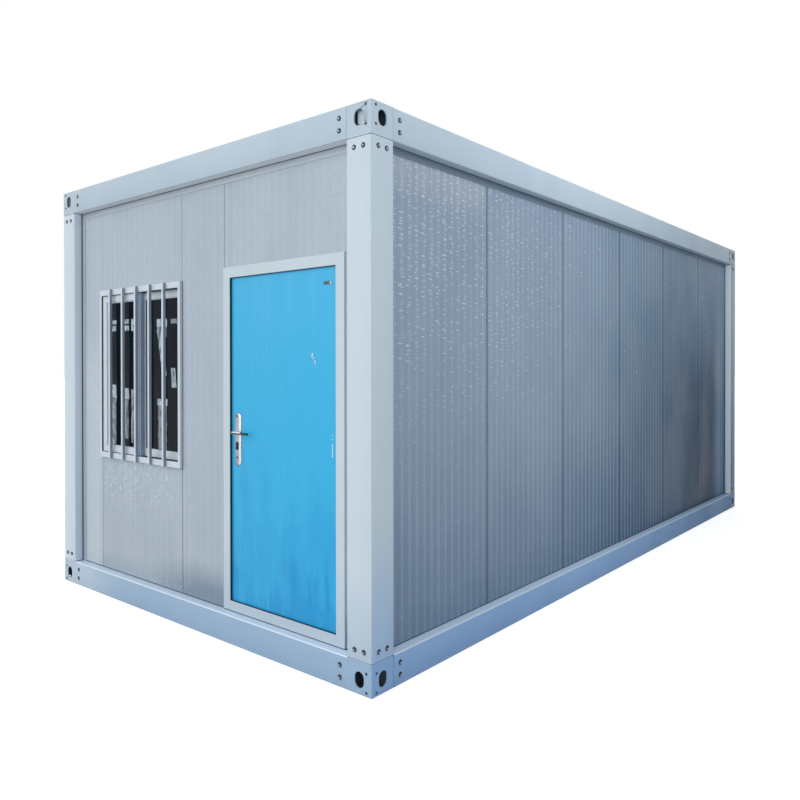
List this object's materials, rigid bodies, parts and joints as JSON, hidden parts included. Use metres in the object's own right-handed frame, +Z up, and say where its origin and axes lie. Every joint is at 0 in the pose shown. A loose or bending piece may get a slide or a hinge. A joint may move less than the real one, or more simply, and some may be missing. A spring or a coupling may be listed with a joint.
{
  "type": "flat pack container house",
  "caption": "Hollow steel-framed cabin with sandwich panel walls, slotted corner fittings, a barred sliding window and a hinged door with a lever handle in one end.",
  "frame": {"origin": "centre of the footprint on the ground", "axes": "+Z up; -Y out of the front end, which has the door and the window; +X to the right seen from in front; +Y along the length to the back end"},
  "size_m": [3, 5.95, 2.8],
  "materials": {
    "frame_paint": "semi-gloss pale grey paint over folded steel",
    "galvanised_steel": "galvanised, matt",
    "floor_board": "grey faced board",
    "ceiling_board": "white steel facing",
    "roof_sheet": "ribbed grey sheet",
    "panel_sheet": "embossed pale grey coated steel facing",
    "window_plastic": "white extruded plastic",
    "window_glass": "clear float glass",
    "door_frame_paint": "satin white aluminium profile",
    "door_paint": "satin blue sheet under clear film",
    "hinge_steel": "zinc plated",
    "handle_steel": "satin stainless steel"
  },
  "bodies": {
    "house": {"bottom_fitting_front_left": "frame_paint", "bottom_fitting_front_right": "frame_paint", "bottom_fitting_back_left": "frame_paint", "bottom_fitting_back_right": "frame_paint", "top_fitting_front_left": "frame_paint", "top_fitting_front_right": "frame_paint", "top_fitting_back_left": "frame_paint", "top_fitting_back_right": "frame_paint", "column_front_left": "frame_paint", "column_front_right": "frame_paint", "column_back_left": "frame_paint", "column_back_right": "frame_paint", "bottom_beam_front": "frame_paint", "bottom_beam_back": "frame_paint", "bottom_beam_left": "frame_paint", "bottom_beam_right": "frame_paint", "top_beam_front": "frame_paint", "top_beam_back": "frame_paint", "top_beam_left": "frame_paint", "top_beam_right": "frame_paint", "floor_joists": "galvanised_steel", "floor_board": "floor_board", "ceiling_board": "ceiling_board", "roof_purlins": "galvanised_steel", "roof_sheet": "roof_sheet", "front_wall_left": "panel_sheet", "front_wall_under_window": "panel_sheet", "front_wall_over_window": "panel_sheet", "front_wall_middle": "panel_sheet", "front_wall_over_door": "panel_sheet", "front_wall_right": "panel_sheet", "right_wall": "panel_sheet", "left_wall": "panel_sheet", "back_wall": "panel_sheet", "wall_trims": "frame_paint", "window_frame": "window_plastic", "window_sash_left": "window_plastic", "window_sash_right": "window_plastic", "window_glass": "window_glass", "door_frame": "door_frame_paint", "door_hinges_frame": "hinge_steel"},
    "door": {"door_leaf": "door_paint", "door_hinges_leaf": "hinge_steel", "door_handle_plates": "handle_steel"},
    "lever": {"door_lever": "handle_steel"}
  },
  "joints": [
    {"name": "door_hinge", "type": "hinge", "parent": "house", "child": "door", "pos_m": [1.2275, -2.857, 1.138], "axis": [0, 0, 1], "range_deg": [-90, 0]},
    {"name": "lever_turn", "type": "hinge", "parent": "door", "child": "lever", "pos_m": [0.43, -2.8875, 1.18], "axis": [0, 1, 0], "range_deg": [0, 40], "stiffness_Nm_per_rad": 2, "springref_deg": -17.19}
  ]
}
